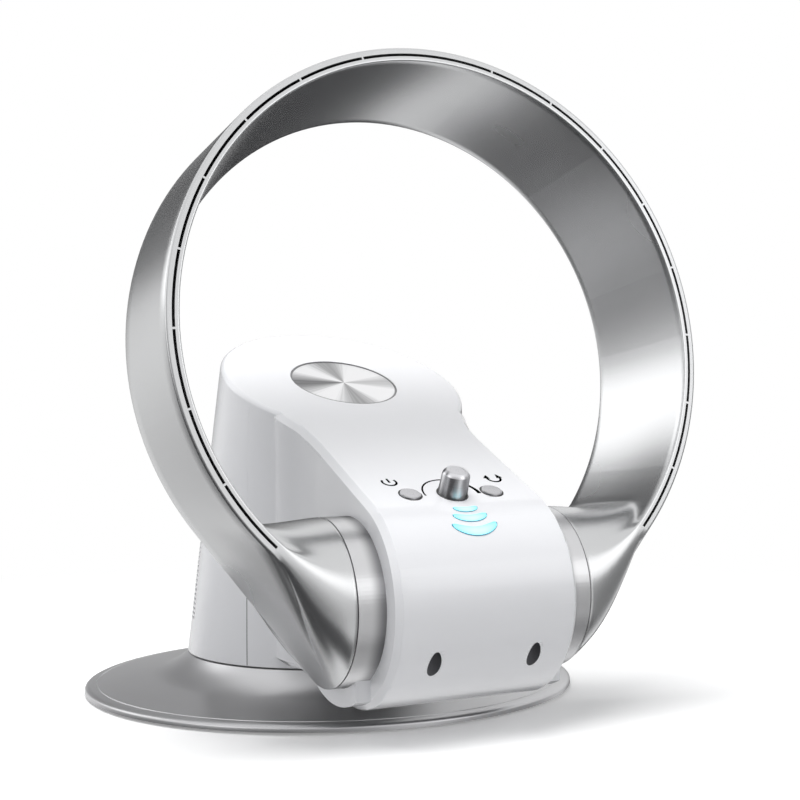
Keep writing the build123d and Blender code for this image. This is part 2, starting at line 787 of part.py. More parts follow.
# Front rim with the air outlet: a row of thin arcs, one longer at the top.
with BuildPart() as ring_rim:
    with BuildSketch(ring_plane.offset(-rim_depth)):
        Circle(ring_outer_radius)
        Circle(front_inner_radius, mode=Mode.SUBTRACT)
    extrude(amount=rim_depth)
    with BuildSketch(ring_plane.offset(-rim_depth)):
        Circle(ring_outer_radius - ring_wall)
        Circle(front_inner_radius + ring_wall, mode=Mode.SUBTRACT)
    extrude(amount=rim_depth - ring_wall, mode=Mode.SUBTRACT)
    with BuildSketch(ring_plane.offset(-rim_depth - 1)):
        with BuildLine():
            low = radians(arm_start_angle)
            Polyline((0, 0), (far * sin(low), -far * cos(low)), (-far * sin(low), -far * cos(low)), close=True)
        make_face()
    extrude(amount=rim_depth + 2, mode=Mode.SUBTRACT)
    with BuildSketch(ring_plane.offset(-rim_depth)):
        Circle(slot_radius + slot_width / 2)
        Circle(slot_radius - slot_width / 2, mode=Mode.SUBTRACT)
        with BuildLine():
            low = radians(180 - slot_end_angle)
            Polyline((0, 0), (far * sin(low), -far * cos(low)), (-far * sin(low), -far * cos(low)), close=True)
        make_face(mode=Mode.SUBTRACT)
        for number in range(1, int(slot_end_angle / slot_step) + 1):
            for side in (-1, 1):
                with Locations(Location((0, 0, 0), (0, 0, 90 + side * number * slot_step))):
                    with Locations((slot_radius, 0)):
                        Rectangle(4, slot_bridge, mode=Mode.SUBTRACT)
    extrude(amount=rim_depth, mode=Mode.SUBTRACT)
finish(ring_rim, "ring_rim")

# Outer shell: the straight outer wall and the rolled back edge.
with BuildPart() as ring_outer_shell:
    outer_section = ring_section(
        [
            (ring_outer_radius, rim_depth),
            (ring_outer_radius, band_depth),
            (back_inner_radius, band_depth),
            (inner_radius(band_depth - ring_wall), band_depth - ring_wall),
            (ring_outer_radius - ring_wall, band_depth - ring_wall),
            (ring_outer_radius - ring_wall, rim_depth),
        ]
    )
    revolve(outer_section, axis=ring_axis, revolution_arc=ring_arc)
finish(ring_outer_shell, "ring_outer_shell")

# Inner shell: the tapering inner wall.
with BuildPart() as ring_inner_shell:
    inner_section = ring_section(
        [
            (front_inner_radius, rim_depth),
            (front_inner_radius + ring_wall, rim_depth),
            (inner_radius(band_depth - ring_wall) + ring_wall, band_depth - ring_wall),
            (inner_radius(band_depth - ring_wall), band_depth - ring_wall),
        ]
    )
    revolve(inner_section, axis=ring_axis, revolution_arc=ring_arc)
finish(ring_inner_shell, "ring_inner_shell")


# ======================= arms =======================

def rail_point(start, leave, last, arrive, share):
    """A point on a smooth curve between two ends with given headings, in the ring's plane."""
    s = share
    weights = (2 * s**3 - 3 * s**2 + 1, s**3 - 2 * s**2 + s, -2 * s**3 + 3 * s**2, s**3 - s**2)
    ends = (start, leave, last, arrive)
    return tuple(sum(weight * end[axis] for weight, end in zip(weights, ends)) for axis in (0, 1))


def arm_rails(share, inset):
    """Outer and inner edge (x, up) of the right arm at a share of its length, moved in by an inset."""
    low = radians(arm_start_angle)
    arrival = radians(arm_arrival_angle)
    middle_inner_radius = (front_inner_radius + back_inner_radius) / 2
    ends = []
    for radius, hub_edge, slant, pull in (
        (ring_outer_radius - inset, -hub_radius + inset * (tan(arrival) + 1 / cos(arrival)), arrival, outer_pull),
        (middle_inner_radius + inset, hub_radius - inset, 0, inner_pull),
    ):
        start = (radius * sin(low), -radius * cos(low))
        leave = (-cos(low) * pull, -sin(low) * pull)
        last = (hub_face + inset, hub_edge - ring_axis_above_hub)
        arrive = (-cos(slant) * pull, -sin(slant) * pull)
        ends.append(rail_point(start, leave, last, arrive, share))
    return ends


def arm_outline(share, inset):
    """Outline of the right arm at a share of its length: the flat band grows into the round hub."""
    outer, inner = arm_rails(share, inset)
    half = hypot(inner[0] - outer[0], inner[1] - outer[1]) / 2
    inward = Vector(1, 0, 0) * ((inner[0] - outer[0]) / (2 * half)) + ring_up * ((inner[1] - outer[1]) / (2 * half))
    swell = share**2 * (3 - 2 * share)
    start_depth = band_depth / 2
    depth_middle = start_depth + (front_ahead_of_hub - start_depth) * swell
    half_depth = start_depth + (hub_radius - start_depth) * swell - inset
    taper = (front_inner_radius - back_inner_radius) / (2 * band_depth) * (1 - share) ** 2
    squareness = 2 + (arm_squareness - 2) * (1 - share) ** 2
    middle = ((inner[0] + outer[0]) / 2, (inner[1] + outer[1]) / 2)
    centre = ring_centre + Vector(1, 0, 0) * middle[0] + ring_up * middle[1] - ring_front * depth_middle
    plane = Plane(origin=centre, x_dir=inward, z_dir=inward.cross(ring_front))
    fine = []
    for number in range(arm_samples + 1):
        turn = 2 * pi * number / arm_samples
        ahead = half_depth * copysign(abs(sin(turn)) ** (2 / squareness), sin(turn))
        aside = copysign(abs(cos(turn)) ** (2 / squareness), cos(turn))
        fine.append((-taper * ahead + (half - taper * ahead) * aside, ahead))
    # points at equal steps along the outline
    walked = [0]
    for before, after in zip(fine, fine[1:]):
        walked.append(walked[-1] + hypot(after[0] - before[0], after[1] - before[1]))
    points = []
    for number in range(arm_points):
        goal = walked[-1] * (number + 0.5) / arm_points
        index = next(index for index, length in enumerate(walked) if length >= goal)
        part_way = (goal - walked[index - 1]) / (walked[index] - walked[index - 1])
        low, high = fine[index - 1], fine[index]
        points.append((low[0] + (high[0] - low[0]) * part_way, low[1] + (high[1] - low[1]) * part_way))
    with BuildSketch(plane) as outline:
        with BuildLine():
            Spline(*points, periodic=True)
        make_face()
    return outline.sketch


with BuildPart() as funnel_outside:
    loft([arm_outline(share, 0) for share in arm_stations])

with BuildPart() as funnel_inside:
    loft([arm_outline(share, arm_wall) for share in arm_stations])

with BuildPart() as hub_bore:
    with BuildSketch(side_plane(hub_face)):
        Circle(spigot_radius + bearing_clearance)
    extrude(amount=arm_wall)

# Right arm: a hollow funnel that twists from the flat band to the round hub. Its hub end has a bored floor.
outside_ends = funnel_outside.faces().filter_by(GeomType.PLANE).sort_by(Axis.X)
inside_ends = funnel_inside.faces().filter_by(GeomType.PLANE).sort_by(Axis.X)
bore_ends = hub_bore.faces().filter_by(GeomType.PLANE).sort_by(Axis.X)
skins = funnel_outside.faces().filter_by(GeomType.BSPLINE) + funnel_inside.faces().filter_by(GeomType.BSPLINE)
skins += hub_bore.faces().filter_by(GeomType.CYLINDER)
skins.append(Face(outside_ends[0].outer_wire(), [bore_ends[0].outer_wire()]))
skins.append(Face(inside_ends[0].outer_wire(), [bore_ends[1].outer_wire()]))
skins.append(Face(outside_ends[1].outer_wire(), [inside_ends[1].outer_wire()]))
with BuildPart() as right_arm:
    add(Solid(Shell(skins)))
finish(right_arm, "right_arm")

with BuildPart() as left_arm:
    mirror(right_arm.part, about=Plane.YZ)
finish(left_arm, "left_arm")

# Sleeves bonded into both hubs. They turn inside the collars and bring the air in.
with BuildPart() as hub_spigots:
    for side in (-1, 1):
        with BuildSketch(side_plane(side * spigot_end)):
            Circle(spigot_radius)
            Circle(spigot_radius - spigot_wall, mode=Mode.SUBTRACT)
        extrude(amount=side * (hub_face + arm_wall - spigot_end))
        with BuildSketch(side_plane(side * (collar_end - 6))):
            Circle(spigot_radius + 1)
            Circle(spigot_radius - seal_depth, mode=Mode.SUBTRACT)
        extrude(amount=side * seal_width, mode=Mode.SUBTRACT)
finish(hub_spigots, "hub_spigots")


# ======================= controls =======================

for side, name in ((-1, "power_button"), (1, "swing_button")):
    # Round cap with a flange under the cover and a stem that reaches for its switch.
    with BuildPart() as button:
        with BuildSketch(top_plane.offset(-wall - 0.3)):
            with Locations((side * button_spacing / 2, control_row)):
                Circle(button_radius)
        extrude(amount=wall + 0.3 + button_rise)
        fillet(button.edges().sort_by(Axis(slope_line, slope_normal))[-1], 0.5)
        with BuildSketch(top_plane.offset(-wall - 0.3)):
            with Locations((side * button_spacing / 2, control_row)):
                Circle(button_radius + 1.2)
        extrude(amount=-0.9)
        with BuildSketch(top_plane.offset(-wall - 1)):
            with Locations((side * button_spacing / 2, control_row)):
                Circle(2)
        extrude(amount=-(switch_top - button_travel - 0.3 - wall - 1))
    finish(button, name)

# Turned metal knob on the potentiometer's shaft.
with BuildPart() as speed_knob:
    knob_floor = knob_seat_depth - running_gap
    with BuildSketch(top_plane.offset(-knob_floor)):
        with Locations(knob_place):
            Circle(knob_foot_radius)
    with BuildSketch(top_plane.offset(knob_height)):
        with Locations(knob_place):
            Circle(knob_top_radius)
    loft()
    chamfer(speed_knob.edges().sort_by(Axis(slope_line, slope_normal))[-1], knob_chamfer)
    with BuildSketch(top_plane.offset(-knob_floor)):
        with Locations(knob_place):
            Circle(pot_shaft_radius)
    extrude(amount=knob_height - 4, mode=Mode.SUBTRACT)
finish(speed_knob, "speed_knob")

with BuildPart() as knob_shaft:
    with BuildSketch(top_plane.offset(-board_depth + board_thickness + 1)):
        with Locations(knob_place):
            Circle(pot_shaft_radius)
    extrude(amount=board_depth - board_thickness - 1 + knob_height - 6)
finish(knob_shaft, "knob_shaft")

with BuildPart() as speed_control:
    with BuildSketch(top_plane.offset(-board_depth + board_thickness)):
        with Locations(knob_place):
            Rectangle(14, 14)
            Circle(pot_shaft_radius + bearing_clearance, mode=Mode.SUBTRACT)
    extrude(amount=board_depth - board_thickness - wall - 0.8)
    with BuildSketch(top_plane.offset(-board_depth + board_thickness)):
        with Locations(knob_place):
            Circle(pot_shaft_radius + bearing_clearance)
    extrude(amount=0.6)
finish(speed_control, "speed_control")

with BuildPart() as tact_switches:
    with BuildSketch(top_plane.offset(-board_depth + board_thickness)):
        with Locations(*button_places):
            Rectangle(6, 6)
    extrude(amount=board_depth - board_thickness - switch_top - 0.8)
    with BuildSketch(top_plane.offset(-switch_top)):
        with Locations(*button_places):
            Circle(1.6)
    extrude(amount=-0.8)
finish(tact_switches, "tact_switches")

with BuildPart() as control_board:
    with BuildSketch(top_plane.offset(-board_depth)):
        with Locations((0, control_row + 3)):
            RectangleRounded(board_width, board_length, 3)
    extrude(amount=board_thickness)
finish(control_board, "control_board")


# ======================= fan =======================

fan_plane = Plane(origin=(0, fan_y, 0))

# Round housing of the impeller. Its flange stands on the turntable's posts.
with BuildPart() as fan_housing:
    with BuildSketch(fan_plane.offset(housing_foot)):
        Circle(housing_radius)
    extrude(amount=housing_top - housing_foot)
    with BuildSketch(Plane.XY.offset(housing_foot)):
        Circle(post_circle + post_width)
    extrude(amount=housing_wall)
    with BuildSketch(fan_plane.offset(housing_foot)):
        Circle(housing_radius - housing_wall)
    extrude(amount=housing_top - housing_foot, mode=Mode.SUBTRACT)
finish(fan_housing, "fan_housing")

# Motor in the middle of the air path, above the impeller.
with BuildPart() as fan_motor:
    with BuildSketch(fan_plane.offset(motor_foot)):
        Circle(motor_radius)
    extrude(amount=motor_height)
    fillet(fan_motor.edges().group_by(Axis.Z)[-1], 5)
    with BuildSketch(fan_plane.offset(motor_foot)):
        Circle(motor_shaft_radius + bearing_clearance)
    extrude(amount=18, mode=Mode.SUBTRACT)
finish(fan_motor, "fan_motor")

# Ring and curved vanes that hold the motor in the housing and straighten the air.
with BuildPart() as motor_bracket:
    with BuildSketch(fan_plane.offset(motor_foot + 4)):
        Circle(motor_radius + 2)
        with PolarLocations((motor_radius + housing_radius - housing_wall) / 2, 6):
            Rectangle(housing_radius - housing_wall - motor_radius - 0.4, 2.0)
        Circle(motor_radius + 0.05, mode=Mode.SUBTRACT)
    extrude(amount=18)
finish(motor_bracket, "motor_bracket")

# Mixed-flow impeller: a swelling hub with twisted blades.
with BuildPart() as blade:
    with BuildSketch(Plane.YZ.offset(impeller_hub_foot - 4)):
        Rectangle(26, 2.0, rotation=58)
    with BuildSketch(Plane.YZ.offset(impeller_radius + 3)):
        Rectangle(34, 1.4, rotation=30)
    loft()

with BuildPart() as impeller:
    with BuildSketch(fan_plane.offset(impeller_foot)):
        Circle(impeller_hub_foot)
    with BuildSketch(fan_plane.offset(impeller_foot + impeller_height)):
        Circle(impeller_hub_top)
    loft()
    with Locations((0, fan_y, impeller_foot + impeller_height / 2)):
        with PolarLocations(0, blade_count):
            add(blade.part)
    with BuildSketch(fan_plane.offset(impeller_foot)):
        Circle(impeller_radius)
    extrude(amount=impeller_height, mode=Mode.INTERSECT)
    with BuildSketch(fan_plane.offset(impeller_foot)):
        Circle(motor_shaft_radius)
    extrude(amount=impeller_height, mode=Mode.SUBTRACT)
finish(impeller, "impeller")

with BuildPart() as motor_shaft:
    with BuildSketch(fan_plane.offset(impeller_foot - 2)):
        Circle(motor_shaft_radius)
    extrude(amount=motor_foot + 16 - impeller_foot + 2)
finish(motor_shaft, "motor_shaft")


def duct_solid(inset):
    """The duct from the fan housing forward to the drum, smaller by an inset, with the cross tube."""
    with BuildPart() as duct:
        with BuildSketch(Plane.YZ):
            with BuildLine():
                rear = fan_y + housing_radius - 4
                front = fan_y - housing_radius - 1
                Polyline(
                    (rear, housing_top + running_gap),
                    (rear, housing_top + 0.75 * duct_rise),
                    (rear - 0.5 * duct_rise, housing_top + duct_rise),
                    (duct_bend_y, housing_top + 0.5 * duct_rise),
                    (hub_y + 6, hub_z + plenum_radius - 4),
                    (hub_y + plenum_radius - 2, hub_z),
                    (front, housing_top + running_gap),
                    close=True,
                )
            make_face()
            offset(amount=-inset, kind=Kind.INTERSECTION)
        extrude(amount=duct_half_width - inset, both=True)
        with BuildSketch(side_plane(0)):
            Circle(plenum_radius - inset)
        extrude(amount=spigot_end - hub_gap, both=True)
    return duct.part


duct_outside = duct_solid(0)
duct_inside = duct_solid(duct_wall)

# Air duct: it takes the air from the fan forward into a cross tube that opens into both hubs.
with BuildPart() as air_duct:
    add(duct_outside)
    add(duct_inside, mode=Mode.SUBTRACT)
    with BuildSketch(fan_plane.offset(housing_top)):
        Circle(duct_half_width - duct_wall)
    extrude(amount=6, mode=Mode.SUBTRACT)
finish(air_duct, "air_duct")

# Foam sheet behind the intake slots.
filter_outside = column_solid(wall + running_gap, column_foot, column_head)
filter_inside = column_solid(wall + running_gap + filter_thickness, column_foot, column_head)
with BuildPart() as dust_filter:
    add(filter_outside)
    add(filter_inside, mode=Mode.SUBTRACT)
    with BuildSketch(Plane.XY.offset(grille_foot - 2)):
        with Locations((0, 4 + column_radius)):
            Rectangle(2 * column_radius, 2 * column_radius)
    extrude(amount=grille_rows * grille_pitch + 3, mode=Mode.INTERSECT)
finish(dust_filter, "dust_filter")

# Socket for the power adapter, low at the back.
with BuildPart() as power_inlet:
    inlet_face = column_radius - 7.5
    inlet_plane = Plane(origin=(0, inlet_face - inlet_length, inlet_height), x_dir=(1, 0, 0), z_dir=(0, -1, 0))
    with BuildSketch(inlet_plane):
        Rectangle(12, 2 * (inlet_height - turntable_top))
    extrude(amount=-inlet_length)
    with BuildSketch(inlet_plane):
        Circle(inlet_radius)
    extrude(amount=-inlet_length - 4.7)
    with BuildSketch(inlet_plane.offset(-6)):
        Circle(inlet_radius - 1.2)
        Circle(1.0, mode=Mode.SUBTRACT)
    extrude(amount=-inlet_length, mode=Mode.SUBTRACT)
finish(power_inlet, "power_inlet")
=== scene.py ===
from math import atan2, cos, degrees, hypot, pi, radians, sin

import bpy
from mathutils import Matrix, Vector


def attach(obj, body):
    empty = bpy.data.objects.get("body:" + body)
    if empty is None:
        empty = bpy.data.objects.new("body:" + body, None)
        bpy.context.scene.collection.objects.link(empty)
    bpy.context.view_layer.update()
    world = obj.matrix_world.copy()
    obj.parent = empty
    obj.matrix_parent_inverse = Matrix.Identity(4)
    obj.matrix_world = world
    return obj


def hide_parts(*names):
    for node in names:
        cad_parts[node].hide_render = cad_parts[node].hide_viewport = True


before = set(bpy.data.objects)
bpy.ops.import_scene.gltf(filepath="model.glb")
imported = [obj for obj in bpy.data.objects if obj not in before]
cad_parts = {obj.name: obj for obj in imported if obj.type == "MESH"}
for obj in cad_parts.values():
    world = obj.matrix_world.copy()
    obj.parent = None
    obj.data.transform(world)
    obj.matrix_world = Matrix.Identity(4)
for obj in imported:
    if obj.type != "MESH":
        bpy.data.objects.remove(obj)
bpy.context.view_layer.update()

mm = 0.001
camera_place = Vector((-0.3962, -0.9053, 0.1863))
yaw, pitch, roll = radians(26.57), radians(-0.267), radians(-0.755)
forward = Vector((sin(yaw) * cos(pitch), cos(yaw) * cos(pitch), -sin(pitch)))
level_right = Vector((cos(yaw), -sin(yaw), 0))
level_up = level_right.cross(forward)
right = level_right * cos(roll) + level_up * sin(roll)
up = level_up * cos(roll) - level_right * sin(roll)
bpy.ops.object.camera_add()
camera = bpy.context.object
camera.name = "camera"
camera_turn = Matrix((right, up, -forward)).transposed().to_4x4()
camera.matrix_world = Matrix.Translation(camera_place) @ camera_turn
camera.data.sensor_fit = "HORIZONTAL"
camera.data.sensor_width = 36
camera.data.lens = 65.16
bpy.context.scene.camera = camera
bpy.context.scene.view_settings.view_transform = "Standard"


class Wire:
    """One output in a tree of shader nodes. What is done with it adds nodes to the same tree."""

    def __init__(self, tree, socket=None):
        self.tree = tree
        self.socket = socket

    def add(self, kind, settings=None, output=0, **values):
        """Adds a node with its settings and its sockets' values or links, and returns one output."""
        node = self.tree.nodes.new(kind)
        for name, value in (settings or {}).items():
            setattr(node, name, value)
        for name, value in values.items():
            key = int(name[1:]) if name[0] == "_" else name.replace("_", " ")
            if isinstance(value, Wire):
                value.feed(node, key)
            else:
                node.inputs[key].default_value = value
        return Wire(self.tree, node.outputs[output] if node.outputs else None)

    def feed(self, node, key):
        """Links this output to a socket of a node."""
        self.tree.links.new(self.socket, node.inputs[key])

    def math(self, operation, *others):
        """The outcome of a sum that has this output as its first value."""
        values = {f"_{number}": other for number, other in enumerate(others, start=1)}
        return self.add("ShaderNodeMath", {"operation": operation}, _0=self, **values)

    def __add__(self, other):
        return self.math("ADD", other)

    __radd__ = __add__

    def __sub__(self, other):
        return self.math("SUBTRACT", other)

    def __mul__(self, other):
        return self.math("MULTIPLY", other)

    def __pow__(self, other):
        return self.math("POWER", other)

    def away_from(self, centre):
        """This place as seen from a centre."""
        return self.add("ShaderNodeVectorMath", {"operation": "SUBTRACT"}, _0=self, _1=centre)

    def dot(self, direction):
        """How far this place lies along a direction."""
        settings = {"operation": "DOT_PRODUCT"}
        return self.add("ShaderNodeVectorMath", settings, output="Value", _0=self, _1=direction)

    def length(self):
        """How far this place lies from the origin."""
        return self.add("ShaderNodeVectorMath", {"operation": "LENGTH"}, output="Value", _0=self)

    def ramp(self, low, high, kind="LINEAR"):
        """Rises from 0 at the low value to 1 at the high one."""
        settings = {"interpolation_type": kind}
        return self.add("ShaderNodeMapRange", settings, Value=self, From_Min=low, From_Max=high)

    def blend(self, low, high):
        """A colour between two, where this output is the share of the second."""
        settings = {"data_type": "RGBA"}
        return self.add("ShaderNodeMix", settings, output=2, _0=self, _6=(*low, 1), _7=(*high, 1))

    def noise(self, scale, detail=2.0):
        """Soft patches spread over a place."""
        return self.add("ShaderNodeTexNoise", Vector=self, Scale=scale, Detail=detail)

    def bands(self):
        """Soft bands along one value."""
        return self.add("ShaderNodeTexNoise", {"noise_dimensions": "1D"}, W=self, Scale=1.0, Detail=3.0)

    def bump(self, strength, distance):
        """Fine relief that has this output as its height."""
        return self.add("ShaderNodeBump", Strength=strength, Distance=distance, Height=self)


def seen_directly(wire):
    """1 for what is seen straight, mirrored or through a clear piece, 0 for the light that falls on things."""
    seen = wire.add("ShaderNodeLightPath", output="Is Camera Ray")
    seen = seen + wire.add("ShaderNodeLightPath", output="Is Glossy Ray")
    return seen + wire.add("ShaderNodeLightPath", output="Is Transmission Ray")


# The room looks white but lights the fan with less than a third of that.
world = bpy.data.worlds.new("pale_room")
bpy.context.scene.world = world
world.use_nodes = True
world.node_tree.nodes.clear()
room = Wire(world.node_tree)
seen = seen_directly(room)
backdrop = room.add("ShaderNodeBackground", Color=(1, 1, 1, 1), Strength=1.0)
fill_light = room.add("ShaderNodeBackground", Color=(0.97, 0.98, 1, 1), Strength=0.31)
mixed = room.add("ShaderNodeMixShader", _0=seen, _1=fill_light, _2=backdrop)
room.add("ShaderNodeOutputWorld", Surface=mixed)

for name, place, aim, width, height, power in (
    ("overhead_box", (-0.2, -0.3, 1.5), (0, -0.1, 0.15), 1.2, 1.0, 22),
    ("left_box", (-1.5, -0.5, 0.7), (0, -0.1, 0.2), 0.7, 1.2, 1.8),
    ("back_left_box", (-0.95, 0.95, 0.8), (0, -0.1, 0.25), 0.8, 0.7, 1.9),
    ("front_box", (0.9, -1.5, 0.7), (0, -0.1, 0.2), 0.7, 0.7, 1.9),
    ("right_box", (1.6, -0.4, 0.8), (0, -0.1, 0.2), 0.8, 0.8, 3.0),
):
    # Two of the boxes give light but don't show in reflections.
    bpy.ops.object.light_add(type="AREA", location=place)
    lamp = bpy.context.object
    lamp.name = name
    lamp.data.shape = "RECTANGLE"
    lamp.data.size = width
    lamp.data.size_y = height
    lamp.data.energy = power
    lamp.rotation_euler = (Vector(place) - Vector(aim)).to_track_quat("Z", "Y").to_euler()
    lamp.visible_glossy = name not in ("overhead_box", "right_box")


def new_finish(name, **values):
    """A material with its plain values set: the material, its shader and the place on the object."""
    finish = bpy.data.materials.new(name)
    finish.use_nodes = True
    shader = finish.node_tree.nodes["Principled BSDF"]
    for key, value in values.items():
        shader.inputs[key.replace("_", " ")].default_value = value
    return finish, shader, Wire(finish.node_tree).add("ShaderNodeTexCoord", output="Object")


# The floor looks white, throws about half of that back on the fan and isn't mirrored in it.
bpy.ops.mesh.primitive_plane_add(size=12, location=(0, 0, -0.0002))
floor = bpy.context.object
floor.name = "floor"
floor_finish, paper, place = new_finish(
    "white_floor", Roughness=0.9, Specular_IOR_Level=0.0, Emission_Color=(1, 1, 1, 1), Emission_Strength=0.16
)
distance = place.length()
far_away = distance.ramp(0.28, 0.75)
seen = seen_directly(place)
far_away = far_away * seen
seen.blend((0.53, 0.53, 0.53), (1, 1, 1)).feed(paper, "Base Color")
glow = place.add("ShaderNodeEmission", Color=(1, 1, 1, 1), Strength=1.0)
lit = Wire(place.tree, paper.outputs[0])
surface = place.add("ShaderNodeMixShader", _0=far_away, _1=lit, _2=glow)
surface.feed(floor_finish.node_tree.nodes["Material Output"], "Surface")
floor.data.materials.append(floor_finish)
floor.visible_glossy = False

# Soft grey areas round the room, seen only in reflections: the azimuth, with 0 behind the fan and 90 on the
# right as seen from in front, the elevation and the reach, in degrees, and the density.
bpy.ops.mesh.primitive_uv_sphere_add(segments=48, ring_count=24, radius=4, location=(0, 0, 0))
flags = bpy.context.object
flags.name = "flags"
flags.visible_camera = flags.visible_diffuse = flags.visible_shadow = flags.visible_transmission = False
flag_finish, _, place = new_finish("grey_flags")
toward = place.add("ShaderNodeVectorMath", {"operation": "NORMALIZE"}, _0=place)
cover = 0.0
for azimuth, elevation, reach, density in (
    (39, -16, 31, 1.7),
    (-62, -27, 48, 0.95),
    (-12, 33, 25, 1.0),
    (-165, -56, 31, 0.9),
    (130, -60, 35, 0.6),
    (8, 19, 32, 0.75),
    (-100, -30, 50, 1.2),
    (-150, -10, 50, 0.8),
    (120, -10, 50, 0.8),
):
    turn, height = radians(azimuth), radians(elevation)
    aim = (sin(turn) * cos(height), cos(turn) * cos(height), sin(height))
    spot = toward.dot(aim).ramp(cos(radians(reach)), 1.0, "SMOOTHSTEP")
    cover = spot * density + cover
grey_light = place.add("ShaderNodeEmission", Color=(0.04, 0.04, 0.042, 1), Strength=1.0)
clear = place.add("ShaderNodeBsdfTransparent")
shaded = cover.math("MINIMUM", 1.0)
surface = place.add("ShaderNodeMixShader", _0=shaded, _1=clear, _2=grey_light)
surface.feed(flag_finish.node_tree.nodes["Material Output"], "Surface")
flags.data.materials.append(flag_finish)

# ---- Air ring ----
# The band, its slotted front face and both arms are shown as one plastic moulding in satin silver lacquer.
# Below the slot each side of the band leaves its circle on a line of its own and runs into the round hub.
ring_radius = 169.5
ring_inside_front = 161.4
ring_inside_back = 150.3
ring_dish = 1.2
band_depth = 78.6
front_round = 1.2
lip_round = 0.8
inside_back_round = 3
outside_back_round = 4
slot_radius = 165.0
slot_width = 1.65
slot_depth = 5
slot_end = 135.0
outer_lip = slot_radius + slot_width / 2
inner_lip = slot_radius - slot_width / 2
bridges = 8
bridge_step = 15.0
bridge_half_width = 0.6
bridge_half_angle = degrees(bridge_half_width / slot_radius)
hub_radius = 47.8
hub_bore = 41.0
hub_face = 73.85
hub_lip = 0.5
hub_slant = 57.7
centre_above_hub = 146.05
centre_before_hub = 45.7
hub_axis = Vector((0, -160.35, 77.2))
lean = radians(9.23)
ring_front = Vector((0, -cos(lean), sin(lean)))
ring_up = Vector((0, sin(lean), cos(lean)))
ring_centre = hub_axis + ring_up * centre_above_hub + ring_front * centre_before_hub

silver, shader, place = new_finish("silver_lacquer", Metallic=0.94)
clouds = place.noise(14.0, 1.0)
(0.26 + clouds * 0.02).feed(shader, "Roughness")
clouds.blend((0.6, 0.605, 0.61), (0.65, 0.655, 0.665)).feed(shader, "Base Color")

slot_black, shader, place = new_finish("slot_black", Specular_IOR_Level=0.1)
dust = place.noise(300.0)
dust.blend((0.004, 0.004, 0.005), (0.012, 0.012, 0.014)).feed(shader, "Base Color")
(0.7 + dust * 0.2).feed(shader, "Roughness")


def slanted(start, end, hub_start, hub_end, count):
    """Steps along one flat side of the band's section: radius, depth and the angle it gets on the hub."""
    steps = []
    for number in range(count):
        share = number / count
        steps.append((
            start[0] + (end[0] - start[0]) * share,
            start[1] + (end[1] - start[1]) * share,
            hub_start + (hub_end - hub_start) * share,
        ))
    return steps


def rounded(centre, radius, turn, hub_start, hub_end, count):
    """Steps round a quarter corner of the band's section, starting at the angle turn."""
    steps = []
    for number in range(count):
        share = number / count
        angle = radians(turn + 90 * share)
        steps.append((
            centre[0] + radius * cos(angle),
            centre[1] - radius * sin(angle),
            hub_start + (hub_end - hub_start) * share,
        ))
    return steps


def inside_radius(depth):
    """Radius of the tapering inner wall at a depth, with its slight dish."""
    share = depth / band_depth
    return ring_inside_front + (ring_inside_back - ring_inside_front) * share + ring_dish * sin(pi * share)


inside_steps = 20
slot_floor_steps = 3
section = slanted((ring_radius, band_depth - outside_back_round), (ring_radius, front_round), 278, 249, 8)
section += rounded((ring_radius - front_round, front_round), front_round, 0, 249, 244, 3)
section += slanted((ring_radius - front_round, 0), (outer_lip, 0), 244, 188, 10)
slot_rows = (len(section), len(section) + slot_floor_steps)
section += slanted((outer_lip, 0), (inner_lip, 0), 188, 174, slot_floor_steps)
section += slanted((inner_lip, 0), (ring_inside_front + lip_round, 0), 174, 155, 4)
section += rounded((ring_inside_front + lip_round, lip_round), lip_round, 90, 155, 149, 3)
for number in range(inside_steps):
    depth = lip_round + (band_depth - (lip_round + inside_back_round)) * number / inside_steps
    section.append((inside_radius(depth), depth, 149 - 115 * number / inside_steps))
inside_back = inside_radius(band_depth - inside_back_round) + inside_back_round
outside_back = ring_radius - outside_back_round
section += rounded((inside_back, band_depth - inside_back_round), inside_back_round, 180, 34, 28, 4)
section += slanted((inside_back, band_depth), (outside_back, band_depth), 28, -74, 14)
section += rounded((outside_back, band_depth - outside_back_round), outside_back_round, 270, -74, -82, 4)
rows = len(section)

# The rows of the outer and of the inner wall, over how many each eases in, and how many degrees early it
# leaves the circle.
outside_rows, outside_ease, outside_early = 11, 9, 10.5
first_inside, last_inside, inside_ease, inside_early = 30, 56, 6, 7.0

arm_length = 87.0
arm_columns = 32
slot_steps = 7
stops = [0.0]
for number in range(bridges + 1):
    first = stops[-1]
    last = (number + 1) * bridge_step - (bridge_half_angle if number < bridges else 0)
    stops += [first + (last - first) * step / slot_steps for step in range(1, slot_steps + 1)]
    if number < bridges:
        stops.append((number + 1) * bridge_step + bridge_half_angle)
alongs = [radians(angle) * slot_radius for angle in stops]
band_end = alongs[-1]
alongs += [band_end + arm_length * (number + 1) / arm_columns for number in range(arm_columns)]
hub_steps = [(hub_face + 0.15, hub_radius - 0.15), (hub_face, hub_radius - 0.6), (hub_face, hub_bore)]


def on_ring(x, rise, depth):
    """A place in the ring's own plane and depth, in metres of the whole fan."""
    return (ring_centre + Vector((x, 0, 0)) + ring_up * rise - ring_front * depth) * mm


def on_hub(radius, angle):
    """Rise and depth of a point round the hub. 90 is straight up and 180 is the front."""
    place = hub_axis + Vector((0, radius * cos(radians(angle)), radius * sin(radians(angle)))) - ring_centre
    return place.dot(ring_up), -place.dot(ring_front)


def eased(share):
    """A share from 0 to 1 with a soft start and a soft end."""
    share = max(0.0, min(1.0, share))
    return share * share * (3 - 2 * share)


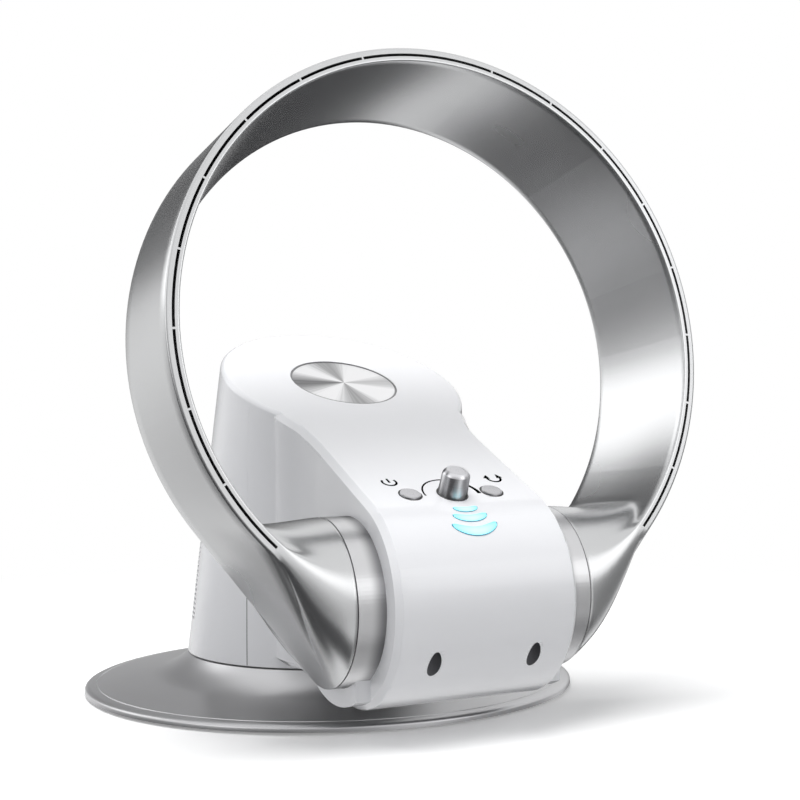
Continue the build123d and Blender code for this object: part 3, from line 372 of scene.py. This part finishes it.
def leave_angle(row):
    """Angle from the top where a row leaves the circle: first the outer wall, then the inner, last the slot."""
    if first_inside <= row <= last_inside:
        share = min(row - first_inside, last_inside - row) / inside_ease
        return radians(slot_end - inside_early * eased(share))
    outside = row if row < outside_rows else rows - row
    return radians(slot_end - outside_early * eased((outside_rows - outside) / outside_ease))


def ring_point(row, column):
    """Where one point of the moulding lies: round the band, along an arm, or on the hub's end face."""
    radius, depth, hub_angle = section[row % rows]
    if column >= len(alongs):
        x, hub_edge = hub_steps[column - len(alongs)]
        rise, back = on_hub(hub_edge, hub_angle)
        return on_ring(x, rise, back)
    leave = leave_angle(row % rows)
    along = alongs[column]
    angle = min(along / slot_radius, leave)
    start = Vector((radius * sin(angle), radius * cos(angle), depth))
    if along / slot_radius <= leave:
        return on_ring(*start)
    share = (along - leave * slot_radius) / (alongs[-1] - leave * slot_radius)
    end = Vector((hub_face + hub_lip, *on_hub(hub_radius, hub_angle)))
    low = max(0.0, -sin(radians(hub_angle)))
    slant = radians(hub_slant) * low**3
    pull_out = 30.0 + 25.0 * low
    pull_in = 40.0 + 30.0 * low
    set_off = Vector((cos(angle), -sin(angle), 0)) * pull_out
    arrival = Vector((-cos(slant), -sin(slant), 0)) * pull_in
    place = start * (2 * share**3 - 3 * share**2 + 1) + set_off * (share**3 - 2 * share**2 + share)
    place += end * (3 * share**2 - 2 * share**3) + arrival * (share**3 - share**2)
    return on_ring(*place)


def only(piece):
    """Selects one object and nothing else."""
    bpy.ops.object.select_all(action="DESELECT")
    piece.select_set(True)
    bpy.context.view_layer.objects.active = piece


def grid(name, across, along):
    """A flat grid of so many faces each way, from -1 to 1, whose points are then laid where they belong."""
    bpy.ops.object.select_all(action="DESELECT")
    bpy.ops.mesh.primitive_grid_add(x_subdivisions=across, y_subdivisions=along, size=2)
    piece = bpy.context.object
    piece.name = name
    return piece


def face_outwards(piece):
    """Turns all faces of a piece outwards."""
    only(piece)
    bpy.ops.object.mode_set(mode="EDIT")
    bpy.ops.mesh.select_all(action="SELECT")
    bpy.ops.mesh.normals_make_consistent(inside=False)
    bpy.ops.object.mode_set(mode="OBJECT")


columns = len(alongs) + len(hub_steps) - 1
air_ring = grid("air_ring", columns, rows)
air_ring.data.materials.append(silver)
air_ring.data.materials.append(slot_black)
bridge_columns = [(slot_steps + 1) * (number + 1) - 1 for number in range(bridges)]
slot_columns = stops.index(slot_end)
for face in air_ring.data.polygons:
    row = int((face.center.y + 1) / 2 * rows)
    column = int((face.center.x + 1) / 2 * columns)
    in_slot = slot_rows[0] <= row < slot_rows[1] and column < slot_columns and column not in bridge_columns
    face.material_index = 1 if in_slot else 0
for point in air_ring.data.vertices:
    row = round((point.co.y + 1) / 2 * rows)
    column = round((point.co.x + 1) / 2 * columns)
    point.co = ring_point(row, column)
only(air_ring)
bpy.ops.object.mode_set(mode="EDIT")
bpy.ops.mesh.select_all(action="SELECT")
bpy.ops.mesh.remove_doubles(threshold=0.00001)
bpy.ops.mesh.select_all(action="DESELECT")
air_ring.active_material_index = 1
bpy.ops.object.material_slot_select()
bpy.ops.mesh.extrude_region_move(TRANSFORM_OT_translate={"value": -ring_front * slot_depth * mm})
bpy.ops.object.mode_set(mode="OBJECT")
mirror = air_ring.modifiers.new("both_sides", "MIRROR")
mirror.merge_threshold = 0.00002
bpy.ops.object.modifier_apply(modifier=mirror.name)
bpy.ops.object.mode_set(mode="EDIT")
bpy.ops.mesh.select_all(action="DESELECT")
bpy.ops.mesh.select_non_manifold()
bpy.ops.mesh.edge_face_add()
bpy.ops.object.mode_set(mode="OBJECT")
face_outwards(air_ring)
bpy.ops.object.shade_smooth_by_angle(angle=radians(35))
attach(air_ring, "ring")
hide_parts("ring_rim", "ring_outer_shell", "ring_inner_shell", "right_arm", "left_arm")

# ---- Base ----
# A wide, low, round plastic cover, lacquered in the ring's silver. A fine groove parts its rounded rim from
# the slope, which sweeps up into the neck. It is screwed to the flat plate under it.
base_silver, shader, place = new_finish("base_silver", Metallic=0.7, Coat_Weight=0.25, Coat_Roughness=0.2)
clouds = place.noise(11.0, 1.0)
(0.32 + clouds * 0.05).feed(shader, "Roughness")
clouds.blend((0.56, 0.56, 0.57), (0.64, 0.64, 0.655)).feed(shader, "Base Color")
pinhole = 0.002


def turned(name, profile, place, segments, finish, body, smooth=30):
    """A piece turned round its own axis from points of radius and height, then put in its place."""
    profile = [(max(radius, pinhole), height) for radius, height in profile]
    bpy.ops.object.select_all(action="DESELECT")
    bpy.ops.mesh.primitive_circle_add(vertices=segments, radius=profile[0][0] * mm)
    piece = bpy.context.object
    piece.name = name
    bpy.ops.object.mode_set(mode="EDIT")
    bpy.ops.mesh.select_all(action="SELECT")
    bpy.ops.transform.translate(value=(0, 0, profile[0][1] * mm))
    for (radius, height), (next_radius, next_height) in zip(profile, profile[1:]):
        rise = (next_height - height) * mm
        bpy.ops.mesh.extrude_edges_move(TRANSFORM_OT_translate={"value": (0, 0, rise)})
        factor = next_radius / radius
        bpy.ops.transform.resize(value=(factor, factor, 1), center_override=(0, 0, 0))
    bpy.ops.mesh.select_all(action="SELECT")
    bpy.ops.mesh.remove_doubles(threshold=0.000005)
    bpy.ops.mesh.normals_make_consistent(inside=False)
    bpy.ops.object.mode_set(mode="OBJECT")
    piece.data.transform(place)
    piece.data.materials.append(finish)
    bpy.ops.object.shade_smooth_by_angle(angle=radians(smooth))
    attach(piece, body)
    return piece


def arc_points(centre, radius, start, end, count):
    """Points of radius and height along an arc between two angles."""
    points = []
    for number in range(count + 1):
        angle = radians(start + (end - start) * number / count)
        points.append((centre[0] + radius * cos(angle), centre[1] + radius * sin(angle)))
    return points


rim = [(162.7, 1.5), (162.7, 3.3), (162.45, 4.1), (161.8, 4.75), (160.6, 5.3), (158.6, 5.75), (155.6, 6.12)]
groove = [(155.3, 5.65), (154.7, 5.7), (154.4, 6.25)]
slope = [(145.0, 7.52), (132.0, 9.35)]
sweep = arc_points((125.54, 50.96), 40.35, 262.1, 220.8, 20)
neck = [(94.0, 24.6), (76.0, 24.6), (76.0, 22.1), (92.5, 21.6)]
underside = [(120.0, 8.5), (154.6, 3.7), (160.2, 2.5), (160.2, 1.5)]
base_section = rim + groove + slope + sweep + neck + underside + rim[:1]
base_cover = turned("base_cover_finished", base_section, Matrix(), 192, base_silver, "base")
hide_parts("base_cover")


def plastic(name, dark, light, roughness, **values):
    """Moulded plastic: a little uneven in colour and gloss, with a fine grain."""
    finish, shader, place = new_finish(name, **values)
    grain = place.noise(900.0, 3.0)
    clouds = place.noise(20.0, 1.0)
    (roughness + grain * 0.06 + clouds * 0.06).feed(shader, "Roughness")
    (grain * 0.5 + clouds * 0.5).blend(dark, light).feed(shader, "Base Color")
    grain.bump(0.08, 0.0002).feed(shader, "Normal")
    return finish


def dress(finish, *nodes):
    """Gives pieces their finish and leaves their shape as it is."""
    for node in nodes:
        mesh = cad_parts[node].data
        mesh.materials.clear()
        mesh.materials.append(finish)


dark_plastic = plastic("dark_plastic", (0.016, 0.016, 0.018), (0.03, 0.03, 0.033), 0.45)
rubber = plastic("black_rubber", (0.012, 0.012, 0.012), (0.024, 0.024, 0.024), 0.75)
iron = plastic("painted_iron", (0.04, 0.04, 0.042), (0.07, 0.07, 0.073), 0.5)
slide_plastic = plastic("acetal", (0.68, 0.67, 0.62), (0.76, 0.75, 0.71), 0.35)
steel = plastic("zinc_steel", (0.42, 0.43, 0.45), (0.56, 0.57, 0.6), 0.28, Metallic=1.0)
dress(dark_plastic, "base_plate", "swivel_post")
dress(iron, "base_ballast")
dress(rubber, "rubber_feet")
dress(steel, "base_screws", "swivel_retainer")
dress(slide_plastic, "swivel_washer", "swing_sector", "swing_pinion")

# ---- Body ----
# Three glossy white mouldings: the column's rear shell with the belly and the grille, the front shell that
# closes the drum from below, and the cover over the slope and the drum with a crisp bevel at its edge.
white, shader, place = new_finish("white_shell", Coat_Weight=0.4, Coat_Roughness=0.06, IOR=1.5)
peel = place.noise(420.0, 1.0)
clouds = place.noise(9.0)
(0.2 + clouds * 0.08).feed(shader, "Roughness")
clouds.blend((0.85, 0.855, 0.88), (0.88, 0.885, 0.905)).feed(shader, "Base Color")
peel.bump(0.04, 0.0002).feed(shader, "Normal")


def smooth_shell(node, body, finish, smooth=28):
    """A moulded shell as one skin without open edges between its facets, shaded smooth."""
    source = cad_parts[node]
    piece = bpy.data.objects.new(f"{node}_finished", source.data.copy())
    bpy.context.collection.objects.link(piece)
    piece.matrix_world = source.matrix_world
    piece.data.materials.clear()
    piece.data.materials.append(finish)
    only(piece)
    bpy.ops.object.mode_set(mode="EDIT")
    bpy.ops.mesh.select_all(action="SELECT")
    bpy.ops.mesh.remove_doubles(threshold=0.00001)
    bpy.ops.object.mode_set(mode="OBJECT")
    bpy.ops.object.shade_smooth_by_angle(angle=radians(smooth))
    even = piece.modifiers.new("even_shading", "WEIGHTED_NORMAL")
    even.keep_sharp = True
    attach(piece, body)
    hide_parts(node)
    return piece


drum_radius = 61.2
drum_half_width = 57.02
drum_start, drum_end = 114, 279
bevel_start = 53.6
long_step = 2.5
curve_play = 0.03
deepest_sag = 0.35


def drum_place(point):
    """How a point lies to the drum: its angle and radius round the hub axis, and the drum's radius there."""
    back, rise = point.y / mm - hub_axis.y, point.z / mm - hub_axis.z
    angle = degrees(atan2(rise, back)) % 360
    return angle, hypot(back, rise), drum_radius - max(0.0, abs(point.x / mm) - bevel_start)


def round_drum(piece):
    """Splits the long steps round the drum and its bevel and lays the new points on the true curve."""
    places = [drum_place(point.co) for point in piece.data.vertices]
    for edge in piece.data.edges:
        ends = [places[number] for number in edge.vertices]
        on_curve = all(
            drum_start < angle < drum_end and abs(radius - target) < curve_play for angle, radius, target in ends
        )
        edge.select = on_curve and abs(ends[0][0] - ends[1][0]) > long_step
    only(piece)
    bpy.ops.object.mode_set(mode="EDIT")
    bpy.ops.mesh.select_mode(type="EDGE")
    bpy.ops.mesh.subdivide(number_cuts=3)
    bpy.ops.mesh.select_mode(type="VERT")
    bpy.ops.object.mode_set(mode="OBJECT")
    for point in piece.data.vertices:
        angle, radius, target = drum_place(point.co)
        on_drum = drum_start + 0.5 < angle < drum_end - 0.5 and abs(point.co.x) < drum_half_width * mm
        if on_drum and -deepest_sag < radius - target < 0.02:
            point.co.y = (hub_axis.y + (point.co.y / mm - hub_axis.y) * target / radius) * mm
            point.co.z = (hub_axis.z + (point.co.z / mm - hub_axis.z) * target / radius) * mm


# The white shells aren't mirrored in the silver. The faces inside the two screw wells get a dark finish as
# painted shade.
well_across, well_back, well_reach, well_edge = 31.4, -213.0, 4.3, 0.4
for node, smooth in (("top_cover", 28), ("rear_shell", 14), ("front_shell", 14)):
    shell = smooth_shell(node, "body", white, smooth)
    shell.visible_glossy = False
    if node == "top_cover":
        # Painted shade inside the two screw wells.
        shell.data.materials.append(plastic("well_shade", (0.05, 0.05, 0.055), (0.09, 0.09, 0.1), 0.5))
        for face in shell.data.polygons:
            from_well = hypot(abs(face.center.x / mm) - well_across, face.center.y / mm - well_back)
            angle, radius, target = drum_place(face.center)
            if from_well < well_reach and radius < target - well_edge:
                face.material_index = 1
        round_drum(shell)


def thicken(piece, thickness, offset):
    """Gives a sheet its thickness in mm: inwards at an offset of -1, both ways at 0 and outwards at 1."""
    thick = piece.modifiers.new("thick", "SOLIDIFY")
    thick.thickness = thickness * mm
    thick.offset = offset
    bpy.ops.object.modifier_apply(modifier=thick.name)


# Flat dark strips stand for the seams down the sides of the column, which is a leaning cone: its radius at
# the foot and what it narrows and leans forward for each mm of height, then the middle, the half length, the
# depth and the half width of a strip.
column_foot, column_radius, column_taper, column_lean = 24.6, 95.02, 0.0807, 0.135
seam_middle, seam_half_length, seam_depth, seam_half_width = 72.0, 45.8, -52.8, 0.2
seam = plastic("shadow_line", (0.02, 0.02, 0.022), (0.05, 0.05, 0.055), 0.7)
for side in (-1, 1):
    line = grid("column_seam_" + ("left" if side < 0 else "right"), 16, 1)
    for point in line.data.vertices:
        height = seam_middle + seam_half_length * point.co.x
        rise = height - column_foot
        depth = seam_depth + seam_half_width * point.co.y
        out = ((column_radius - column_taper * rise) ** 2 - (depth + column_lean * rise) ** 2) ** 0.5
        point.co = Vector((side * out, depth, height)) * mm
    thicken(line, 0.1, 0)
    face_outwards(line)
    line.data.materials.append(seam)
    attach(line, "body")
dress(dark_plastic, "turntable", "fan_housing", "motor_bracket", "air_duct", "impeller")
dress(dark_plastic, "speed_control", "tact_switches")
dress(steel, "front_screws", "swing_motor", "fan_motor", "motor_shaft", "knob_shaft")
foam = plastic("filter_foam", (0.02, 0.02, 0.021), (0.05, 0.05, 0.053), 0.85)
board_green = plastic("circuit_board", (0.005, 0.05, 0.02), (0.01, 0.08, 0.03), 0.35)
socket_black = plastic("socket_black", (0.006, 0.006, 0.006), (0.012, 0.012, 0.012), 0.25)
dress(foam, "dust_filter")
dress(board_green, "control_board")
dress(socket_black, "power_inlet")

# ---- Collars ----
# A round collar of satin grey plastic at each end of the drum carries the ring's hub. Behind the narrow gap
# between them lie the bearing sleeve and its seal. The collar's colour is painted darker towards the drum, as
# painted shade.
grey = plastic("satin_grey", (0.6, 0.6, 0.61), (0.65, 0.65, 0.66), 0.26, Metallic=0.7)
collar_finish, shader, place = new_finish("collar_lacquer", Metallic=0.7)
clouds = place.noise(14.0, 1.0)
aside = place.dot((1, 0, 0)).math("ABSOLUTE")
# Painted shade: the colour darkens over the last mm of the collar towards the drum.
clear_of_painted_shade = aside.ramp(0.057, 0.0665, "SMOOTHSTEP")
clear_of_painted_shade.blend((0.2, 0.2, 0.21), (0.66, 0.66, 0.67)).feed(shader, "Base Color")
(0.26 + clouds * 0.04).feed(shader, "Roughness")
for node in ("left_collar", "right_collar"):
    smooth_shell(node, "body", collar_finish)
dress(grey, "hub_spigots")
dress(rubber, "hub_seals")
dress(dark_plastic, "hub_retainers")
dress(slide_plastic, "friction_washers")

# ---- Lamps ----
# Three crescent lenses of milky cyan plastic on the front of the drum, lit from behind. The white skin round
# them, a sheet without thickness, lies on the drum and covers the lenses kept in its pockets, which are
# given the shell's white.
cyan, shader, place = new_finish("cyan_lens", Roughness=0.15, Emission_Strength=0.55)
milk = place.noise(160.0, 1.0)
spread = place.add("ShaderNodeTexCoord", output="UV")
sideways = spread.dot((2, 0, 0)) - 1.0
downward = spread.dot((0, 2, 0)) - 1.0
deep = sideways * sideways * 0.6 + downward * downward * 0.4 + milk * 0.2
deep.blend((0.4, 0.85, 0.9), (0.12, 0.62, 0.72)).feed(shader, "Base Color")
deep.blend((0.75, 1.0, 1.0), (0.12, 0.75, 0.9)).feed(shader, "Emission Color")
cyan_rim = plastic("cyan_lens_rim", (0.02, 0.25, 0.42), (0.04, 0.36, 0.55), 0.2)
dress(white, "light_lenses")


def on_drum_at(across, radius, angle):
    """A place round the drum, in metres of the whole fan. 90 is straight up and 180 is the front."""
    turn = radians(angle)
    return Vector((across, hub_axis.y + radius * cos(turn), hub_axis.z + radius * sin(turn))) * mm


window_radius = drum_radius + 0.02
window_half_width, window_middle, window_reach = 16, 134.5, 15.0
window = grid("lamp_window", 2, 24)
for point in window.data.vertices:
    angle = window_middle + window_reach * point.co.y
    point.co = on_drum_at(window_half_width * point.co.x, window_radius, angle)
window.data.materials.append(white)
bpy.ops.object.shade_smooth()
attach(window, "body")

# Half width in mm, angles round the drum of the middle and of the tips, and height in degrees.
lens_crown, lens_lift, lens_thickness = 0.25, 0.05, 0.3
rim_start, tip_start = 0.86, 0.96
for number, (half_width, middle, tips, height) in enumerate((
    (7.8, 123.8, 122.3, 4.0),
    (10.9, 130.8, 128.2, 4.9),
    (14.4, 139.6, 134.9, 5.8),
)):
    lens = grid(f"lamp_lens_{number}", 40, 16)
    lens.data.materials.append(cyan)
    lens.data.materials.append(cyan_rim)
    for face in lens.data.polygons:
        face.material_index = 1 if face.center.y > rim_start or abs(face.center.x) > tip_start else 0
    for point in lens.data.vertices:
        across, down = point.co.x, point.co.y
        spread_here = height * (1 - across**4) ** 0.5 if abs(across) < 1 else 0.02
        angle = middle + (tips - middle) * across**2 + down * spread_here / 2
        radius = drum_radius + lens_lift + lens_crown * (1 - across**2) * (1 - down**2)
        point.co = on_drum_at(half_width * across, radius, angle)
    thicken(lens, lens_thickness, -1)
    face_outwards(lens)
    bpy.ops.object.shade_smooth_by_angle(angle=radians(30))
    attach(lens, "body")

# ---- Controls ----
# Two push buttons and a turning knob of satin turned metal, in a row across the slope above the drum.
slope_right = Vector((1, 0, 0))
slope_up = Vector((0, 0.91104, 0.41231))
slope_out = Vector((0, -0.41231, 0.91104))
slope_turn = Matrix((slope_right, slope_up, slope_out)).transposed().to_4x4()
slope_origin = Matrix.Translation(Vector((0, -185.583, 132.956)) * mm)


def on_slope(across, along):
    """Where a piece made at the origin comes to stand on the slope, in mm from the middle of its front edge."""
    return slope_origin @ slope_turn @ Matrix.Translation(Vector((across, along, 0)) * mm)


def turned_metal(name, low, high, grooves, across, along):
    """Satin metal cut on a lathe, with so many fine grooves to the metre round its axis."""
    finish, shader, place = new_finish(name, Metallic=1.0)
    offset = place.away_from(on_slope(across, along).translation)
    height = offset.dot(slope_out)
    length = offset.length()
    radius = (length * length - height * height) ** 0.5
    cuts = ((radius + height) * grooves).bands()
    (0.24 + cuts * 0.12).feed(shader, "Roughness")
    cuts.blend(low, high).feed(shader, "Base Color")
    cuts.bump(0.15, 0.0001).feed(shader, "Normal")
    return finish


def gap_and_shade_section(inside, outside):
    """A flat dark ring that stands for the gap round a control and the painted shade next to it, 0.03 mm proud
    of the slope.
    """
    return [(inside, 0.03), (outside, 0.03), (outside, -0.2), (inside, -0.2), (inside, 0.03)]


button_across, button_along = 26.4, 9
button_section = [(0, -2.9), (7.4, -2.9), (7.4, -2.5), (6.2, -2.4), (6.2, 0.55), (6.05, 0.85), (5.75, 1.0)]
button_section += [(5.3, 1.0), (5.2, 0.9), (3.0, 0.84), (0, 0.82)]
for node, body, side in (("power_button", "power_key", -1), ("swing_button", "swing_key", 1)):
    across = side * button_across
    button_place = on_slope(across, button_along)
    metal = turned_metal(f"{node}_metal", (0.62, 0.62, 0.64), (0.72, 0.72, 0.74), 5000.0, across, button_along)
    button = turned(f"{node}_finished", button_section, button_place, 64, metal, body)
    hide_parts(node)
    # A dark ring round the button: its gap and painted shade.
    gap = turned(f"{node}_gap", gap_and_shade_section(6.25, 7.15), button_place, 64, socket_black, "body")

knob_along = 8
knob_place = on_slope(0, knob_along)
knob_metal = turned_metal("knob_metal", (0.68, 0.68, 0.7), (0.84, 0.84, 0.87), 3500.0, 0, knob_along)
knob_section = [(0, 10.0), (3.0, 10.0), (3.0, -0.5), (8.45, -0.5), (8.6, -0.35), (8.58, 0.1), (8.05, 12.6)]
knob_section += [(7.95, 12.9), (6.3, 14.9), (6.1, 15.0), (4.9, 15.0), (4.6, 14.8), (2.5, 14.75), (0, 14.72)]
knob = turned("speed_knob_finished", knob_section, knob_place, 96, knob_metal, "knob", smooth=25)
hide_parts("speed_knob")
# A dark ring round the knob: its gap and painted shade.
gap = turned("speed_knob_gap", gap_and_shade_section(8.7, 9.4), knob_place, 96, socket_black, "body")

# ---- Symbols ----
# Black ink printed on the cover: the power sign, the swing sign and the knob's scale, which grows towards high.
ink_lift, ink_thickness = 0.01, 0.04
ink = plastic("black_ink", (0.003, 0.003, 0.003), (0.006, 0.006, 0.006), 0.8, Specular_IOR_Level=0.0)


def stroke(name, path, widths):
    """A printed line along points on the slope, with a width at each point, all in mm."""
    count = len(path) - 1
    piece = grid(name, count, 1)
    for point in piece.data.vertices:
        number = round((point.co.x + 1) / 2 * count)
        here = Vector(path[number])
        ahead = Vector(path[min(number + 1, count)]) - Vector(path[max(number - 1, 0)])
        sideways = Vector((-ahead.y, ahead.x)).normalized() * widths[number] / 2 * point.co.y
        point.co = Vector((here.x + sideways.x, here.y + sideways.y, ink_lift)) * mm
    thicken(piece, ink_thickness, 1)
    piece.data.transform(on_slope(0, 0))
    piece.data.materials.append(ink)
    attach(piece, "body")


stroke("power_sign_ring", arc_points((-32.4, 25.2), 4.3, 144, 392, 32), [1.4] * 33)
stroke("power_sign_bar", [(-32.4, 24.4), (-32.4, 29.4)], [1.4, 1.4])
stroke("swing_sign_line", arc_points((36.2, 24.8), 4.3, 178, 368, 24), [1.5] * 25)
stroke("swing_sign_head_left", [(31.7, 25.0), (32.9, 29.4)], [4.2, 0.1])
stroke("swing_sign_head_right", [(40.5, 25.2), (39.7, 30.0)], [4.2, 0.1])
scale_steps = 60
scale_path = arc_points((0, knob_along), 17.5, 183, -3, scale_steps)
scale_widths = [1.1 + 3.0 * max(0, number / scale_steps - 0.4) ** 1.4 for number in range(scale_steps + 1)]
stroke("speed_scale", scale_path, scale_widths)

# ---- Badge ----
# A disc of spun aluminium let into the top of the column, with a narrow, raised and darker edge. Its face is
# plain, and the light and dark wedges on it are painted reflections in its colour.
badge_along = 170.5
badge_place = on_slope(0, badge_along)
spun, shader, place = new_finish("spun_aluminium", Metallic=1.0)
offset = place.away_from(badge_place.translation)
radius = offset.length()
across = offset.dot(slope_right)
along = offset.dot(slope_up)
angle = along.math("ARCTAN2", across)
cuts = (radius * 4000.0).bands()
# Painted reflections: four light and dark wedges round the face, darker on one side, with finer radial
# variation, all in the colour.
painted_reflection_lobes = (angle * 4.0).math("COSINE") * 0.5 - angle.math("COSINE") * 0.25
painted_reflection_fine = (angle * 14.0).bands()
shade = (painted_reflection_lobes + painted_reflection_fine * 0.4).ramp(0.0, 1.05)
edge_line = radius.ramp(0.0338, 0.0347, "SMOOTHSTEP")
shade = shade.math("MAXIMUM", edge_line * 0.8)
shade.blend((0.93, 0.93, 0.94), (0.1, 0.1, 0.105)).feed(shader, "Base Color")
(0.28 + cuts * 0.14).feed(shader, "Roughness")
cuts.bump(0.2, 0.0001).feed(shader, "Normal")
badge_section = [(0, -1.2), (35.6, -1.2), (35.6, -0.1), (35.5, 0.0), (34.9, 0.0), (34.7, -0.1)]
badge_section += [(34.65, -0.4), (20, -0.4), (0, -0.4)]
badge = turned("badge_finished", badge_section, badge_place, 128, spun, "body")
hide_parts("badge_disc")
